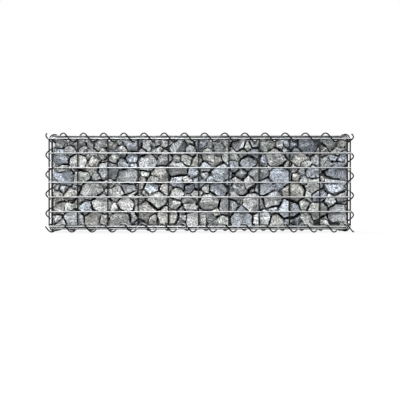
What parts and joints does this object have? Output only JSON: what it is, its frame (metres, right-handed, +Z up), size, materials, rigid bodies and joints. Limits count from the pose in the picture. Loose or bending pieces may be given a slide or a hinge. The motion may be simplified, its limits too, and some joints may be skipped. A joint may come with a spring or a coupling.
{
  "type": "gabion basket",
  "caption": "Long welded-mesh gabion basket, laced shut along every edge by wire spirals and filled with grey crushed stone.",
  "frame": {"origin": "middle of the surface the basket stands on, at the lowest points of the bottom spirals", "axes": "+X along the basket's length, +Z up, the front mesh panel faces -Y"},
  "size_m": [1.0232, 0.3232, 0.3312],
  "materials": {
    "mesh_wire": "galvanised, satin",
    "spiral_wire": "galvanised, satin",
    "stone": "rough crushed stone"
  },
  "bodies": {
    "root": {"back_bottom_spiral": "spiral_wire", "back_left_spiral": "spiral_wire", "back_panel": "mesh_wire", "back_right_spiral": "spiral_wire", "back_top_spiral": "spiral_wire", "base_panel": "mesh_wire", "front_bottom_spiral": "spiral_wire", "front_left_spiral": "spiral_wire", "front_panel": "mesh_wire", "front_right_spiral": "spiral_wire", "front_top_spiral": "spiral_wire", "left_bottom_spiral": "spiral_wire", "left_end_panel": "mesh_wire", "left_top_spiral": "spiral_wire", "lid_panel": "mesh_wire", "right_bottom_spiral": "spiral_wire", "right_end_panel": "mesh_wire", "right_top_spiral": "spiral_wire", "stones_bay_1_course_1": "stone", "stones_bay_1_course_2": "stone", "stones_bay_1_course_3": "stone", "stones_bay_1_course_4": "stone", "stones_bay_2_course_1": "stone", "stones_bay_2_course_2": "stone", "stones_bay_2_course_3": "stone", "stones_bay_2_course_4": "stone", "stones_bay_3_course_1": "stone", "stones_bay_3_course_2": "stone", "stones_bay_3_course_3": "stone", "stones_bay_3_course_4": "stone", "stones_bay_4_course_1": "stone", "stones_bay_4_course_2": "stone", "stones_bay_4_course_3": "stone", "stones_bay_4_course_4": "stone", "stones_bay_5_course_1": "stone", "stones_bay_5_course_2": "stone", "stones_bay_5_course_3": "stone", "stones_bay_5_course_4": "stone", "stones_bay_6_course_1": "stone", "stones_bay_6_course_2": "stone", "stones_bay_6_course_3": "stone", "stones_bay_6_course_4": "stone", "stones_bay_7_course_1": "stone", "stones_bay_7_course_2": "stone", "stones_bay_7_course_3": "stone", "stones_bay_7_course_4": "stone", "stones_bay_8_course_1": "stone", "stones_bay_8_course_2": "stone", "stones_bay_8_course_3": "stone", "stones_bay_8_course_4": "stone"}
  },
  "joints": []
}
